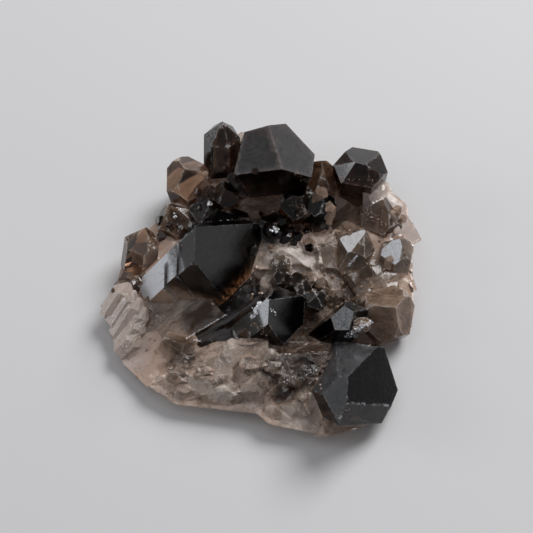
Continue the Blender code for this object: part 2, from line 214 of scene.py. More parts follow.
# Lumps of the milky base, each the convex body around its corners
ROCK = {
    "left": ((-27, -12, 0), (-20, -20, 0), (-27, 3, 0), (-16, 12, 0), (-6, -22, 0), (-4, 12, 0),
        (-34, -4, 4), (-33.5, -13, 4), (-30.5, -20, 4), (-25, -26, 5), (-31, 8, 5), (-23, 17, 6),
        (-24, -18, 5), (-27, 4, 7), (-20, 11, 10), (-10, -6, 2), (-12, -16, 4)),
    "left root": ((-30, -7, 0), (-24, -14, 0), (-10, -9, 0), (-14, -4, 0), (-33.4, -8, 4.5),
        (-32.5, -6.5, 3), (-31.5, -9.6, 6), (-25.3, -5.7, 9), (-12.7, -6.4, 12), (-8.1, -10.7, 9.5),
        (-16.8, -15.5, 7), (-24.7, -17.2, 4.5), (-31.8, -15.2, 4)),
    "middle root": ((-12, -15, 0), (0, -8, 0), (0, -15, 0), (-16.4, -15.8, 6), (-6.8, -11.2, 9),
        (-.3, -6.4, 12), (.6, -15.7, 12), (-7.6, -18, 9), (-13.7, -18.7, 7)),
    "front left": ((-20, -21, 0), (-8, -25, 0), (2, -24, 0), (-18, -12, 0), (2, -10, 0), (-25, -26, 6),
        (-19, -30, 5), (-6, -31.5, 5), (1, -33, 6), (-18, -20, 9), (-2, -20.5, 17), (1, -20.5, 16),
        (-14, -26, 9.5), (-2, -28, 12)),
    "front right": ((-2, -24, 0), (14, -28, 0), (20, -10, 0), (0, -8, 0), (-4, -30, 6), (1, -35, 6),
        (14, -37.5, 5), (22, -35, 5), (22, -20, 8), (1, -22, 15), (11.4, -21, 10.5), (13.4, -23.8, 9.5),
        (13.9, -31.9, 8), (4, -31, 10.5)),
    "middle": ((-18, -12, 0), (20, -14, 0), (22, 14, 0), (-18, 16, 0), (-14, -8, 1), (2, -12, 3),
        (20, -8, 8), (20, 10, 12), (-14, 14, 11), (6, 3, 13), (1, 2, 11)),
    "right": ((14, -16, 0), (25, -14, 0), (27, 6, 0), (20, 18, 0), (8, 14, 0), (32.5, -12, 6),
        (33.5, -3, 6), (33, 3, 6), (33, 19, 7), (28, 24, 8), (27, -9, 9), (29, 3, 9), (28, 14, 12),
        (14, 4, 12)),
    "right shoulder": ((22, 8, 6), (24, 22, 8), (28, 20.5, 15), (22, 17, 18.5), (32, 15, 12),
        (33, 10, 9), (36, 10, 6.5), (30, 5, 9), (31, 19, 7)),
    "back": ((-16, 12, 0), (20, 16, 0), (12, 24, 0), (-10, 24, 0), (-22, 18, 6), (-12, 28, 7),
        (4, 30, 8), (18, 28, 8), (28, 24, 8), (-14, 22, 14), (4, 24, 18), (18, 20, 17), (-10, 10, 14)),
    "behind top giant": ((-6, 24, 0), (10, 24, 0), (-8, 30, 3), (-5, 36, 7), (3, 38, 8), (8.5, 35, 7),
        (11, 29, 3), (-6, 34, 13), (2, 36, 15), (8, 32, 12)),
    "behind top right": ((12, 20, 0), (22, 18, 0), (14, 26, 3), (21, 30, 5), (28, 24, 5), (16, 28, 10),
        (26, 25, 11), (28, 17, 6)),
    "behind upper left": ((-20, 14, 0), (-8, 20, 0), (-21.5, 17, 6), (-19.5, 23.5, 5), (-13, 29, 5),
        (-7, 30, 6), (-20, 23, 10), (-13, 27, 11), (-8, 28, 12)),
}


def direction(azimuth, elevation):
    around, up = radians(azimuth), radians(elevation)
    return Vector((cos(around) * cos(up), sin(around) * cos(up), sin(up)))


def axes(lean, turn):
    """Two directions across a crystal and one along it."""
    azimuth, spin = radians(lean[0]), radians(turn)
    along = direction(*lean)
    level = Vector((-sin(azimuth), cos(azimuth), 0))
    first = level * cos(spin) + along.cross(level) * sin(spin)
    return first, along.cross(first), along


def outward(frame, azimuth, tilt):
    """The direction at this azimuth about the axis, leaning away from the axis by tilt."""
    first, second, along = frame
    around = first * cos(radians(azimuth)) + second * sin(radians(azimuth))
    return around * sin(radians(tilt)) + along * cos(radians(tilt))


def faces_of(frame, tip, half, caps):
    """The outward direction and a point of each of a crystal's six sides and its end faces."""
    for side, distance in enumerate(half):
        normal = outward(frame, side * SIDE_STEP, 90)
        yield normal, tip + normal * distance
    for azimuth, tilt, drop in caps:
        yield outward(frame, azimuth, tilt), tip - frame[2] * drop


def keep_inside(mesh, point, normal):
    """Cuts off what lies beyond the plane and closes the cut."""
    whole = mesh.verts[:] + mesh.edges[:] + mesh.faces[:]
    cut = bmesh.ops.bisect_plane(
        mesh, geom=whole, dist=1e-4, plane_co=point, plane_no=normal, clear_outer=True)
    rim = [item for item in cut["geom_cut"] if isinstance(item, bmesh.types.BMEdge)]
    if rim:
        bmesh.ops.contextual_create(mesh, geom=rim)


def add_crystal(group, tip, lean, turn, half, caps, length, share=1):
    """Adds one closed crystal: six sides, its end faces, and a flat root at length below the tip."""
    frame = axes(lean, turn)
    along = frame[2]
    tip = Vector(tip)
    mesh = bmesh.new()
    bmesh.ops.create_cube(mesh, size=UNCUT_SIZE)
    bmesh.ops.translate(mesh, vec=tip, verts=mesh.verts)
    for normal, point in faces_of(frame, tip, half, caps):
        keep_inside(mesh, point, normal)
    keep_inside(mesh, tip - along * length, -along)
    for vert in mesh.verts:
        vert.co = lowered(vert.co, share)
    add_to(group, mesh)


def add_block(group, corners):
    """Adds the closed convex body around these corners."""
    mesh = bmesh.new()
    for corner in corners:
        mesh.verts.new(corner)
    hull = bmesh.ops.convex_hull(mesh, input=mesh.verts)
    loose = [v for v in hull["geom_interior"] if isinstance(v, bmesh.types.BMVert)]
    bmesh.ops.delete(mesh, geom=loose, context="VERTS")
    bmesh.ops.dissolve_limit(mesh, angle_limit=radians(1), verts=mesh.verts, edges=mesh.edges)
    add_to(group, mesh)


def lowered(point, share=HEIGHT_SHARE):
    """Where a point of the tall layout ends up. Planes stay planes, and the ground stays in place."""
    depth = EYE[2] - point.z
    height = share * point.z * EYE[2] / (EYE[2] - (1 - share) * point.z)
    eye = Vector(EYE)
    return eye + (point - eye) * (EYE[2] - height) / depth


def add_to(group, mesh):
    """Copies a body into the group, beside the bodies that are there already."""
    bmesh.ops.recalc_face_normals(mesh, faces=mesh.faces)
    copies = {v: group.verts.new(v.co) for v in mesh.verts}
    for face in mesh.faces:
        group.faces.new([copies[v] for v in face.verts])
    mesh.free()


def even_caps(blunt):
    """Six end faces, every other one further down the axis, as on many quartz points."""
    return tuple((side * SIDE_STEP, CAP_TILT, blunt if side % 2 else 0) for side in range(6))


def scatter(surface, rng, stray, centre, spread, number, lean, halves):
    """Places on the surface below a patch, each with the face's number, a half width and a lean."""
    for _ in range(number):
        x = rng.gauss(centre[0], spread[0] / 2)
        y = rng.gauss(centre[1], spread[1] / 2)
        half = rng.uniform(*halves)
        way = tuple(angle + rng.uniform(*most) for angle, most in zip(lean, stray))
        ground, _, index, _ = surface.ray_cast(Vector((x, y, FAR_AWAY)), Vector((0, 0, -1)))
        yield ground, index, half, way


def add_druse(group, surface, rng, *patch):
    """Small crystals that stand on the surface below them, each leaning its own way."""
    for ground, _, half, way in scatter(surface, rng, DRUSE_STRAY, *patch):
        turn = rng.uniform(0, SIDE_STEP)
        if ground is None:
            continue
        out = half * DRUSE_OUT
        tip = ground + axes(way, turn)[2] * out
        add_crystal(group, tip, way, turn, (half,) * 6, even_caps(half / 4), out + DRUSE_ROOT)


def add_rubble(group, surface, rng, centre, spread, number, side, sizes):
    """Broken lumps, each the convex body around points on a flattened ball, half sunk in the base."""
    first, second, out = axes(side, 0)
    for _ in range(number):
        start = Vector(rng.gauss(middle, reach / 2) for middle, reach in zip(centre, spread))
        ground, _, _, _ = surface.ray_cast(start + out * OUTSIDE, -out)
        size = rng.uniform(*sizes)
        if ground is None or ground.z < size / 2:
            continue
        corners = []
        for _ in range(RUBBLE_CORNERS):
            way = Vector(rng.gauss(0, 1) for _ in range(3)).normalized()
            corners.append(ground + size * (first * way.x * 1.4 + second * way.y + out * way.z * .6))
        add_block(group, corners)


def link(item):
    """Puts an object into the scene."""
    bpy.context.scene.collection.objects.link(item)
    return item


def make_item(mesh, name):
    """Turns a mesh into an object in the scene."""
    data = bpy.data.meshes.new(name)
    mesh.to_mesh(data)
    mesh.free()
    return link(bpy.data.objects.new(name, data))


def boolean(item, other, operation, with_self=False):
    """Gives the item an exact Boolean with the other object."""
    other.hide_render = True
    modifier = item.modifiers.new(operation, "BOOLEAN")
    modifier.operation = operation
    modifier.object = other
    modifier.solver = "EXACT"
    modifier.use_self = with_self


class Parts:
    """Bodies of one kind, and for each face the number of the body it belongs to."""

    def __init__(self):
        self.mesh = bmesh.new()
        self.tag = self.mesh.faces.layers.int.new("body_number")

    def mark(self, number):
        for face in self.mesh.faces:
            if face[self.tag] == 0:
                face[self.tag] = number

    def make(self, name):
        bmesh.ops.scale(self.mesh, vec=(MM, MM, MM), verts=self.mesh.verts)
        return make_item(self.mesh, name)


# For each body number: its kind and name, and a crystal's tip, axis and planes. No body has number 0
BODIES = [None]

# Milky stone that grew on below a crystal, and isn't broken
SMOOTH_ROCK = ("left", "left root", "middle root", "right", "right shoulder")


def is_stone(body):
    """Whether the body is a lump of the base and not a crystal."""
    return body["kind"] in ("rock", "rubble")


def is_rough(body):
    """Whether the body is broken stone."""
    return is_stone(body) and body["name"] not in SMOOTH_ROCK


def family(body):
    """The body's name up to its comma. The fan's columns share their looks, as do a crystal's ledges."""
    return body["name"].split(",")[0]


def number_of(kind, name, tip=(0, 0, 0), lean=(0, 90), turn=0, half=(), caps=(), length=1, share=1):
    """Notes down a body and gives its number. Planes: the outward direction and place of each face."""
    frame = axes(lean, turn)
    tip = Vector(tip)
    planes = [(np.array(normal), normal.dot(point)) for normal, point in faces_of(frame, tip, half, caps)]
    BODIES.append(dict(kind=kind, name=name, tip=np.array(tip), axis=np.array(frame[2]), frame=frame,
                       planes=planes, share=share))
    return len(BODIES) - 1


def build_body():
    """Joins the lumps of the base and all the crystals into one closed body with a flat underside."""
    rock = Parts()
    for name, corners in ROCK.items():
        add_block(rock.mesh, corners)
        rock.mark(number_of("rock", name))
    crystals = Parts()
    for name, shape in BIG_CRYSTALS.items():
        add_crystal(crystals.mesh, **shape)
        crystals.mark(number_of("big", name, **shape))
    for name, (tip, lean, turn, half, blunt, length, _) in POINTED_CRYSTALS.items():
        shape = (tip, lean, turn, (half,) * 6, even_caps(blunt), length)
        add_crystal(crystals.mesh, *shape)
        crystals.mark(number_of("pointed", name, *shape))
    base = BVHTree.FromBMesh(rock.mesh)
    surface = crystals.mesh.copy()
    for corners in ROCK.values():
        add_block(surface, corners)
    tree = BVHTree.FromBMesh(surface)
    surface.free()
    rng = Random(DRUSE_SEED)
    for name, patch in DRUSES.items():
        add_druse(crystals.mesh, tree, rng, *patch)
        crystals.mark(number_of("druse", name))
    rng = Random(RUBBLE_SEED)
    for name, patch in RUBBLE.items():
        add_rubble(crystals.mesh, base, rng, *patch)
        crystals.mark(number_of("rubble", name))
    cluster = rock.make("crystal_cluster")
    guide = crystals.make("crystals")
    boolean(cluster, guide, "UNION", with_self=True)
    below = Parts()
    bmesh.ops.create_cube(below.mesh, size=UNCUT_SIZE)
    bmesh.ops.translate(below.mesh, vec=(0, 0, -UNCUT_SIZE / 2), verts=below.mesh.verts)
    below.mark(number_of("rock", "underside"))
    ground = below.make("ground")
    boolean(cluster, ground, "DIFFERENCE")
    depsgraph = bpy.context.evaluated_depsgraph_get()
    data = bpy.data.meshes.new_from_object(cluster.evaluated_get(depsgraph))
    cluster.modifiers.clear()
    cluster.data = data
    for item in (guide, ground):
        bpy.data.objects.remove(item)
    return cluster


# The longest edges on crystals and on stone
LONGEST_FLAT = 1.8
LONGEST_ROUGH = .75
SPLIT_ROUNDS = 7
# Faces thinner than this are joined to their neighbours
THINNEST_FACE = .0005


def refine(item):
    """Splits the long edges, more finely where the body is stone, and keeps the flat faces flat."""
    mesh = bmesh.new()
    mesh.from_mesh(item.data)
    tag = mesh.faces.layers.int["body_number"]
    stone = [body is not None and is_stone(body) for body in BODIES]
    bmesh.ops.triangulate(mesh, faces=mesh.faces)
    bmesh.ops.dissolve_degenerate(mesh, dist=THINNEST_FACE * MM, edges=mesh.edges)
    bmesh.ops.triangulate(mesh, faces=[f for f in mesh.faces if len(f.verts) > 3])
    for _ in range(SPLIT_ROUNDS):
        long_edges = []
        for edge in mesh.edges:
            fine = any(stone[f[tag]] and f.normal.z > -0.5 for f in edge.link_faces)
            if edge.calc_length() > (LONGEST_ROUGH if fine else LONGEST_FLAT) * MM:
                long_edges.append(edge)
        if not long_edges:
            break
        bmesh.ops.subdivide_edges(
            mesh, edges=long_edges, cuts=1, use_grid_fill=False, use_single_edge=True)
        bmesh.ops.triangulate(mesh, faces=[f for f in mesh.faces if len(f.verts) > 3])
    bmesh.ops.delete(mesh, geom=[v for v in mesh.verts if not v.link_faces], context="VERTS")
    mesh.to_mesh(item.data)
    mesh.free()


# How dark and milky each big crystal is: how far below the tip the change starts and ends, then dark and
# milk above it, and below it
TONES = {
    "left giant": (13, 22, 1, 0, .12, .62),
    "top giant": (12, 24, 1, 0, .95, .1),
    "front right": (14, 24, 1, 0, .9, .1),
    "middle": (14, 22, 1, 0, .75, .2),
    "middle right": (10, 18, 1, 0, .8, .2),
    "top right": (9, 16, .97, 0, .8, .15),
}
# How dark and milky the bodies with one tone are. Rock without a row of its own has rock's
EVEN_TONES = {
    "druse top": (.7, .1),
    "druse right": (.3, .6),
    # The middle druse is kept lighter, a painted light in the shade it stands in
    "druse middle": (.3, .4),
    "druse left": (.6, .1),
    "druse far left": (.3, .3),
    "druse right edge": (.12, .6),
    "rubble front slab": (.3, .62),
    "rubble front left slab": (.25, .66),
    "rubble left back": (.3, .6),
    "rubble back": (.2, .75),
    "rubble right": (.1, .75),
    "rubble middle": (.25, .6),
    "rubble under front": (.15, .75),
    "rock": (.1, .78),
    "rock left": (.03, .85),
    "rock left root": (.28, .58),
    "rock middle root": (.6, .25),
    "rock right shoulder": (.02, .8),
    "rock right": (.1, .7),
    "grains dark": (.6, 0),
    "grains clear": (.03, .4),
    "grains milky": (.1, .8),
    "grains speck_and_glint": (0, .8),
}
# Patches of the base: centre, reach, and how much darker they are. Some are darker brown stone, and some
# are painted shade below and between the crystals
SHADED_ROCK = [
    ((2, 12, 14), 11, .3), ((13, 22, 17), 7, .5), ((-16, 14, 12), 8, .45), ((8, -12, 12), 9, .6),
    ((-18, -20, 9), 6, .42), ((4.6, -29.6, 10), 3.5, .6), ((8.8, -26.5, 13), 5, .42),
    ((-.3, -16, 12), 5, .6), ((-3, -5.5, 6), 6, .8), ((-7, -7.4, 4.5), 5, .8),
    ((-13.7, -11.4, 9.2), 6, .5), ((-7.6, -12.5, 9), 5, .5), ((20, -2, 11), 9, .38),
    ((27, -2, 10), 6, .3), ((24, 15, 13), 6, .5), ((11.5, -21.5, 11), 6.5, .62),
    ((5, -24.5, 12), 8, .45), ((18, 4, 12), 6, .35), ((-8, -13.6, 8), 4, .4), ((18.7, -18.5, 8), 5, .6),
]
# Patches of the base: centre, reach, and how much paler they are
PALE_ROCK = [
    ((6.8, 1.8, 12.6), 7.5, .5), ((30, 14, 12.5), 8, .5), ((33.5, 8.5, 7), 7, .5), ((8, -33, 4), 6, .5),
    ((-5, -30, 5), 6, .3), ((-30, -17, 4), 6, .4),
]

# How pale single faces are: azimuth about the axis, tilt, share of white, and how far down it reaches.
# The white is a painted reflection of the lamps and the sky
FACE_LOOKS = {
    "top giant": ((118, 26, .17, 99), (47, 58, .17, 99)),
    "front right": ((82, 77, .23, 99), (120, 90, .23, 99), (133, 43, .17, 99), (319, 48, .15, 99)),
    "middle right": ((300, 52, .34, 99), (185, 45, .15, 99)),
    "middle": ((300, 90, 1, 6), (240, 90, .8, 4)),
    "top left post": ((300, 52, .3, 99), (0, 90, .12, 12)),
    "top right": ((180, 52, .5, 99),),
    "right clear": ((60, 52, .97, 99),),
    "right lying": ((60, 52, .7, 99),),
}
# How pale families of bodies are all over
ALL_PALE = {"fan": .22, "speck_and_glint": .9, "right shoulder": .22}
# The thin brown stone of the left giant that light shines through: the side it lies along, how far it
# reaches from there, and how far below the tip its middle is
GLOW_SIDE = 1
GLOW_REACH = 3.2
GLOW_DEPTH = 15
# The direction that its left side faces, which gets a painted reflection
GIANT_LEFT = (-.86, -.36, .36)
# A crystal's planes are its six sides and then its end faces
FIRST_END = 6
# How much light comes through along the edges of a crystal
THIN_EDGES = {"top giant": .35, "top left post": .3, "top right": .25, "upper left clear": .3,
              "upper left low": .3, "left clear": .25, "right dome": .3, "left giant": .12,
              "front right": .12, "middle": .12}
OTHER_THIN_EDGES = .2
# How much a body is streaked, and the direction across the streaks of the base
STREAKED = {"fan": 1, "left": .5, "left root": .3, "left giant": .3, "middle root": .6,
            "right splinter": 1}
OTHER_STREAKED = .2
STONE_SIDEWAYS = (.38, -.93, .3)
# How broken the smooth stone looks, where broken stone is 1
SMOOTH_ROCKY = .15
# Faces whose directions have a larger dot product than this are the same face
SAME_FACE = .985
NEARLY_SAME_FACE = .9
# The distance from an edge that stands for all larger ones
FAR = 9

# What is stored on every face corner: how dark, milky and rocky the stone is, how much frost and painted
# sheen it has, how much painted light glows through it, how far the crystal's next edge is and how much
# light that edge lets through, the place along and across the crystal, and how much it is streaked
LOOKS = ("dark", "milk", "frost_and_sheen", "rocky", "glow", "rim", "thin", "along", "across", "streaked")


def tone_of(body):
    """The body's row as in TONES."""
    kind, name = body["kind"], body["name"]
    if kind == "pointed":
        return POINTED_CRYSTALS[name][-1]
    if kind == "big":
        return TONES[family(body)]
    dark, milk = EVEN_TONES.get(f"{kind} {name}", EVEN_TONES["rock"])
    return 0, 1, dark, milk, dark, milk


def smooth(value, low, high):
    """Rises smoothly from 0 at low to 1 at high."""
    t = np.clip((value - low) / (high - low), 0, 1)
    return t * t * (3 - 2 * t)


def moved_down(points, share):
    """Like lowered(), for an array of points. 1 / share undoes share."""
    height = share * points[:, 2] * EYE[2] / (EYE[2] - (1 - share) * points[:, 2])
    return EYE + (points - EYE) * ((EYE[2] - height) / (EYE[2] - points[:, 2]))[:, None]


def corners_of(data):
    """For every face corner of a mesh, the number of its body and its place."""
    numbers = np.zeros(len(data.polygons), np.int32)
    data.attributes["body_number"].data.foreach_get("value", numbers)
    places = np.zeros(len(data.vertices) * 3, np.float32)
    data.vertices.foreach_get("co", places)
    corner_vertex = np.zeros(len(data.loops), np.int32)
    data.loops.foreach_get("vertex_index", corner_vertex)
    return np.repeat(numbers, 3), (places.reshape(-1, 3) / MM)[corner_vertex]


def directions(corners):
    """The direction that each triangle faces, once for each of its three corners."""
    first, second, third = corners[0::3], corners[1::3], corners[2::3]
    facing = np.cross(second - first, third - first)
    length = np.maximum(np.linalg.norm(facing, axis=1), 1e-9)
    return np.repeat(facing / length[:, None], 3, axis=0)


def nearness(points, centre, reach):
    """1 around the centre of a patch, and 0 a little beyond its reach."""
    return 1 - smooth(np.linalg.norm(points - centre, axis=1), reach * .4, reach * 1.2)


def shade_rock(at, look):
    """Makes patches of the base darker or paler."""
    for centre, reach, more in SHADED_ROCK:
        near = nearness(at, centre, reach)
        look["dark"] = np.maximum(look["dark"], more * near)
        look["milk"] *= 1 - .7 * more * near
    for centre, reach, more in PALE_ROCK:
        near = nearness(at, centre, reach)
        look["dark"] *= 1 - more * near
        look["frost_and_sheen"] = np.maximum(look["frost_and_sheen"], .5 * more * near)


def mark_faces(body, at, facing, look):
    """Notes how far each corner is from the crystal's next edge, and paints pale reflections on some of
    its faces.
    """
    rim = look["rim"]
    for normal, place in body["planes"]:
        other = np.abs(facing @ normal) < SAME_FACE
        away = np.where(other, place - at @ normal, FAR)
        rim = np.minimum(rim, np.maximum(away, 0))
    look["rim"] = rim
    # Painted reflections: the faces listed in FACE_LOOKS are made pale
    for azimuth, tilt, share, reach in FACE_LOOKS.get(body["name"], ()):
        same = facing @ np.array(outward(body["frame"], azimuth, tilt)) > SAME_FACE
        pale = share * (1 - smooth(look["along"], reach - 1, reach + 1))
        look["frost_and_sheen"] = np.where(same, pale, look["frost_and_sheen"])


def mark_left_giant(body, at, facing, look):
    """Paints a reflection on the left giant's left side, paints light on the sides and ends of its
    ledges, which lie in shade, and lights its thin edge.
    """
    below, frost_and_sheen = look["along"], look["frost_and_sheen"]
    if body["name"] == "left giant":
        normal, place = body["planes"][GLOW_SIDE]
        near = 1 - smooth(place - at @ normal, 0, GLOW_REACH)
        look["glow"] = near * (1 - smooth(np.abs(below - GLOW_DEPTH), 3, 9))
        side = facing @ np.array(GIANT_LEFT) > NEARLY_SAME_FACE
    else:
        front, end = body["planes"][0][0], body["planes"][FIRST_END][0]
        side = (facing @ front < NEARLY_SAME_FACE) & (facing @ end < NEARLY_SAME_FACE)
        forward = (at - body["tip"]) @ front
        # Painted light: the ends of the ledges lie in shade and are made pale
        frost_and_sheen = np.where(facing @ end > NEARLY_SAME_FACE, .75 - .55 * smooth(forward, 4, 8), frost_and_sheen)
    # Painted reflection on the left side, paler further down
    pale = .12 + .33 * smooth(below, 8.5, 10.5) + .6 * smooth(below, 12.5, 15.5)
    look["frost_and_sheen"] = np.where(side, pale, frost_and_sheen)


def paint(item):
    """Stores the looks on every face corner, body by body."""
    data = item.data
    body_at, places = corners_of(data)
    fields = {name: np.zeros(len(data.loops)) for name in LOOKS}
    fields["rim"][:] = FAR
    for number, body in enumerate(BODIES):
        here = body_at == number
        if body is None or not here.any():
            continue
        at = moved_down(places[here], 1 / body["share"])
        facing = directions(at)
        giant = family(body) == "left giant"
        whole = next(b for b in BODIES[1:] if b["name"] == "left giant") if giant else body
        below = (whole["tip"] - at) @ whole["axis"]
        start, end, dark, milk, dark_below, milk_below = tone_of(body)
        way = smooth(below, start, end)
        look = dict(dark=dark + (dark_below - dark) * way, milk=milk + (milk_below - milk) * way,
                    frost_and_sheen=np.full(len(at), ALL_PALE.get(family(body), 0)), rim=np.full(len(at), FAR),
                    along=below, streaked=STREAKED.get(family(body), OTHER_STREAKED))
        if is_stone(body):
            shade_rock(at, look)
            look["rocky"] = 1 if is_rough(body) else SMOOTH_ROCKY
            look["across"] = at @ np.array(STONE_SIDEWAYS)
        else:
            look["thin"] = THIN_EDGES.get(family(body), OTHER_THIN_EDGES)
            look["across"] = at @ (np.array(body["frame"][0]) + .4 * np.array(body["frame"][1]))
        if body["planes"]:
            mark_faces(body, at, facing, look)
        if giant:
            mark_left_giant(body, at, facing, look)
        for name, values in look.items():
            fields[name][here] = values
    for name, values in fields.items():
        layer = data.attributes.new(name, "FLOAT", "CORNER")
        layer.data.foreach_set("value", values.astype(np.float32))


def bring_down(item):
    """Lowers the tall layout as in the part, and moves its middle to the origin."""
    for vertex in item.data.vertices:
        place = lowered(vertex.co / MM)
        vertex.co = (place - Vector((*CENTRE, 0))) * MM


# The broken stone: size of the tilted facets, and how far they stand out
FRACTURE = ((9, 1.6), (3.8, .42), (1.4, .08))
FRACTURE_SEED = 8
# Facets smaller than this are only in patches
EVERYWHERE = 2
# The direction in which the left crystals and the milky stone below them grew, and how much less the
# ridges change along it
GROWTH = (.69, .28, .67)
ALONG_GROWTH = .88
# How far the whole surface is sunk first: broken stone, rubble, and the smooth stone
SINK_BROKEN = .8
SINK_RUBBLE = .3
SINK_SMOOTH = .2
# The relief of the rubble, as a share of the broken stone's
RUBBLE_SHARE = .4
# The height that counts as 1 in the stored relief, on broken and on smooth stone
HIGH_BROKEN = 1.6
HIGH_SMOOTH = .6
# No point moves further than this share of the stone's thickness, or if it is this close to the ground
THICK_SHARE = .4
STILL_BELOW = .3
# How much the relief is smoothed, and how far it stays inside the part's box
SMOOTHING = .35
BOX_MARGIN = .02
# Edges of the stone sharper than this angle in degrees stay sharp
CREASE = 20

# Where single shards of the front slab end: places as seen from EYE, with the shard on the left of the
# way; how high it stands, and how far it reaches
LEDGES = (
    (((-6, -29.5), (-10.1, -26.3), (-15.5, -24.9)), .8, 5),
    (((.7, -20.4), (-1.2, -24.8), (-6, -29.5)), .6, 4),
    (((11.4, -28.3), (4.4, -31.9), (.3, -32.4)), .9, 5),
    (((11.8, -25.8), (7.9, -23.2), (2.4, -23.2), (-1.3, -24.9)), .6, 4),
    (((-18.4, -28.5), (-21.9, -24.7), (-26.2, -24.7)), .6, 3),
    (((-7.8, -17.6), (-8, -22.4)), .5, 3),
)


def ledge(place):
    """How far the shards that lie over this place raise it."""
    x, y, z = place + Vector((*CENTRE, 0))
    share = (EYE[2] - SEEN_LEVEL) / (EYE[2] - z)
    seen = Vector((EYE[0] + (x - EYE[0]) * share, EYE[1] + (y - EYE[1]) * share))
    move = 0
    for points, height, reach in LEDGES:
        nearest = None
        for start, end in zip(points, points[1:]):
            start, way = Vector(start), Vector(end) - Vector(start)
            t = (seen - start).dot(way) / way.length_squared
            away = seen - start - way * max(0, min(1, t))
            left = (way.x * away.y - way.y * away.x) / way.length
            beyond = max(0, -t, t - 1) * way.length
            if nearest is None or away.length < nearest[0]:
                nearest = (away.length, left, beyond)
        _, left, beyond = nearest
        if left > 0 and beyond < 2:
            move += height * min(1, left / .3) * max(0, 1 - left / reach) * (1 - beyond / 2)
    return move


def broken(place):
    """How far the broken stone stands out here."""
    move = ledge(place)
    for size, height in FRACTURE:
        scaled = place / size
        cell = noise.voronoi(scaled)[1][0]
        way = noise.noise_vector(cell * 7.3)
        share = 1 if size > EVERYWHERE else smooth(noise.noise(place / 5), -.1, .25)
        move += share * height * max(-1, min(1, 2.2 * way.dot(scaled - cell)))
    return move


def streaked(place):
    """How far the unbroken milky stone stands out here: ridges along the way it grew."""
    growth = Vector(GROWTH).normalized()
    across = place - growth * (place.dot(growth) * ALONG_GROWTH)
    return .4 * noise.noise(across / 2.6) + .12 * noise.noise(across / 1.1)


def thickness(mesh):
    """How thick the stone is behind each face."""
    tree = BVHTree.FromBMesh(mesh)
    thick = {}
    for face in mesh.faces:
        under = face.calc_center_median() - face.normal * BOX_MARGIN * MM
        thick[face] = (tree.ray_cast(under, -face.normal)[3] or 0) / MM
    return thick


def roughen(item):
    """Breaks the rocky surface into tilted facets, and leaves the crystals' own faces flat. Stores how
    high each place stands."""
    mesh = bmesh.new()
    mesh.from_mesh(item.data)
    mesh.normal_update()
    tag = mesh.faces.layers.int["body_number"]
    high = mesh.verts.layers.float.new("high")
    noise.seed_set(FRACTURE_SEED)
    thick = thickness(mesh)
    moves = []
    for vertex in mesh.verts:
        bodies = [BODIES[f[tag]] for f in vertex.link_faces]
        if vertex.co.z < STILL_BELOW * MM or not all(is_stone(body) for body in bodies):
            continue
        place = vertex.co / MM
        if any(is_rough(body) for body in bodies):
            loose = any(body["kind"] == "rubble" for body in bodies)
            move = broken(place) * (RUBBLE_SHARE if loose else 1)
            vertex[high] = move / HIGH_BROKEN
            move -= SINK_RUBBLE if loose else SINK_BROKEN
        else:
            move = streaked(place)
            vertex[high] = move / HIGH_SMOOTH
            move -= SINK_SMOOTH
        most = THICK_SHARE * min(thick[f] for f in vertex.link_faces)
        moves.append((vertex, vertex.normal * max(-most, min(most, move)) * MM))
    for vertex, move in moves:
        vertex.co += move
    moved = [vertex for vertex, _ in moves]
    bmesh.ops.smooth_vert(
        mesh, verts=moved, factor=SMOOTHING, use_axis_x=True, use_axis_y=True, use_axis_z=True)
    margin = Vector((1, 1, 1)) * BOX_MARGIN * MM
    low, top = Vector(CAD_BOX[0]) + margin, Vector(CAD_BOX[1]) - margin
    for vertex in moved:
        for axis in range(3):
            vertex.co[axis] = max(low[axis], min(top[axis], vertex.co[axis]))
    for face in mesh.faces:
        face.smooth = is_stone(BODIES[face[tag]])
    mesh.to_mesh(item.data)
    mesh.free()
    item.data.set_sharp_from_angle(angle=radians(CREASE))


# Small crystals on the stone between the big ones, like the druse, and their kinds
GRAINS = {
    "centre": ((11, -7), (18, 12), 80, (345, 60), (.18, .5), ("clear", "milky", "milky")),
    "right": ((22, 0), (8, 16), 45, (60, 60), (.15, .4), ("clear", "milky", "milky")),
    "top": ((0, 12), (20, 6), 90, (300, 75), (.2, .5), ("dark", "clear")),
    "left": ((-27, -8), (8, 14), 50, (160, 60), (.12, .35), ("milky",)),
}
GRAINS_SEED = 5
GRAIN_STRAY = ((-90, 90), (-35, 15))
GRAIN_OUT = 2.6
GRAIN_ROOT = .6
# Small crystals whose tip would be lower than this are left out
LOWEST_TIP = 1
